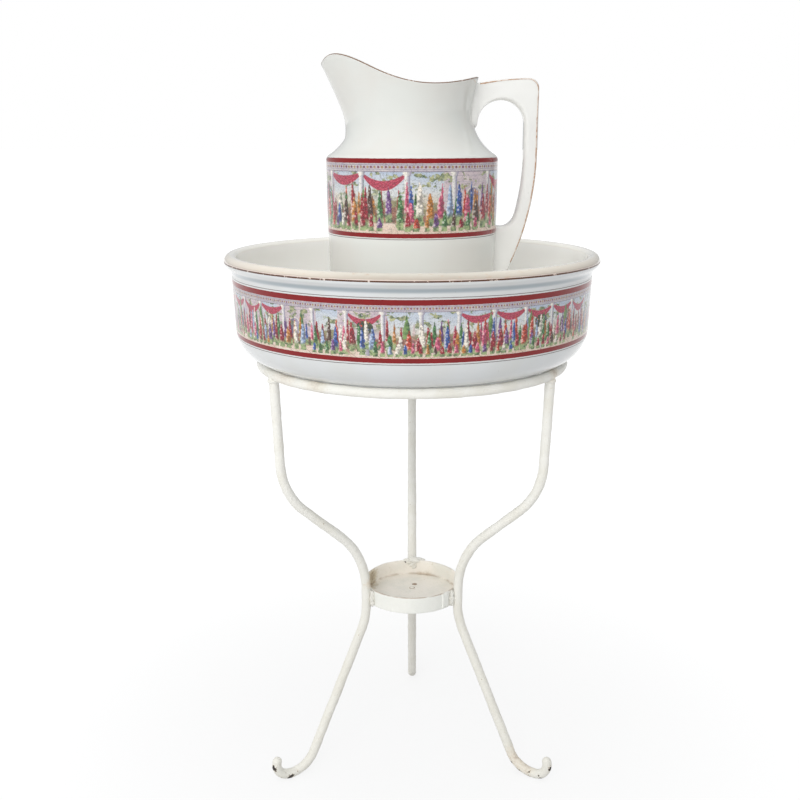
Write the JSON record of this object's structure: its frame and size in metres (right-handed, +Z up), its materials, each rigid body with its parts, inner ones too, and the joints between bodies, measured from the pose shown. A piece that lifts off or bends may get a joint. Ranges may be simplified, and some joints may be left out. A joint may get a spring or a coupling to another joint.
{
  "type": "wash basin stand",
  "caption": "Tripod wash stand of cream-painted iron rod with a hoop and a small round tray, holding a loose ceramic wash basin and jug.",
  "frame": {"origin": "on the floor, on the stand's upright axis", "axes": "+Z up, -Y to the front, between the two front legs; +X to the right, towards the jug's handle"},
  "size_m": [0.4, 0.4, 0.7883],
  "materials": {
    "stand_paint": "thick cream-white brush paint, lumpy, chipped to black iron at the feet",
    "tray_paint": "thick cream-white brush paint with rust along the joints",
    "basin_glaze": "glossy white glaze with a printed frieze between dark red lines and a worn gilt rim",
    "jug_glaze": "glossy white glaze with a printed frieze between dark red lines and a worn gilt lip"
  },
  "bodies": {
    "stand": {"hoop": "stand_paint", "hoop_welds": "stand_paint", "leg_left": "stand_paint", "leg_right": "stand_paint", "leg_back": "stand_paint", "tray_floor": "tray_paint", "tray_wall": "tray_paint", "tray_rivet": "tray_paint", "tray_welds": "stand_paint"},
    "basin": {"basin": "basin_glaze"},
    "jug": {"jug_body": "jug_glaze", "jug_handle": "jug_glaze"}
  },
  "joints": [
    {"name": "basin_lift", "type": "slide", "parent": "stand", "child": "basin", "axis": [0, 0, 1], "range_m": [0, 0.1]},
    {"name": "jug_lift", "type": "slide", "parent": "basin", "child": "jug", "axis": [0, 0, 1], "range_m": [0, 0.14]}
  ]
}
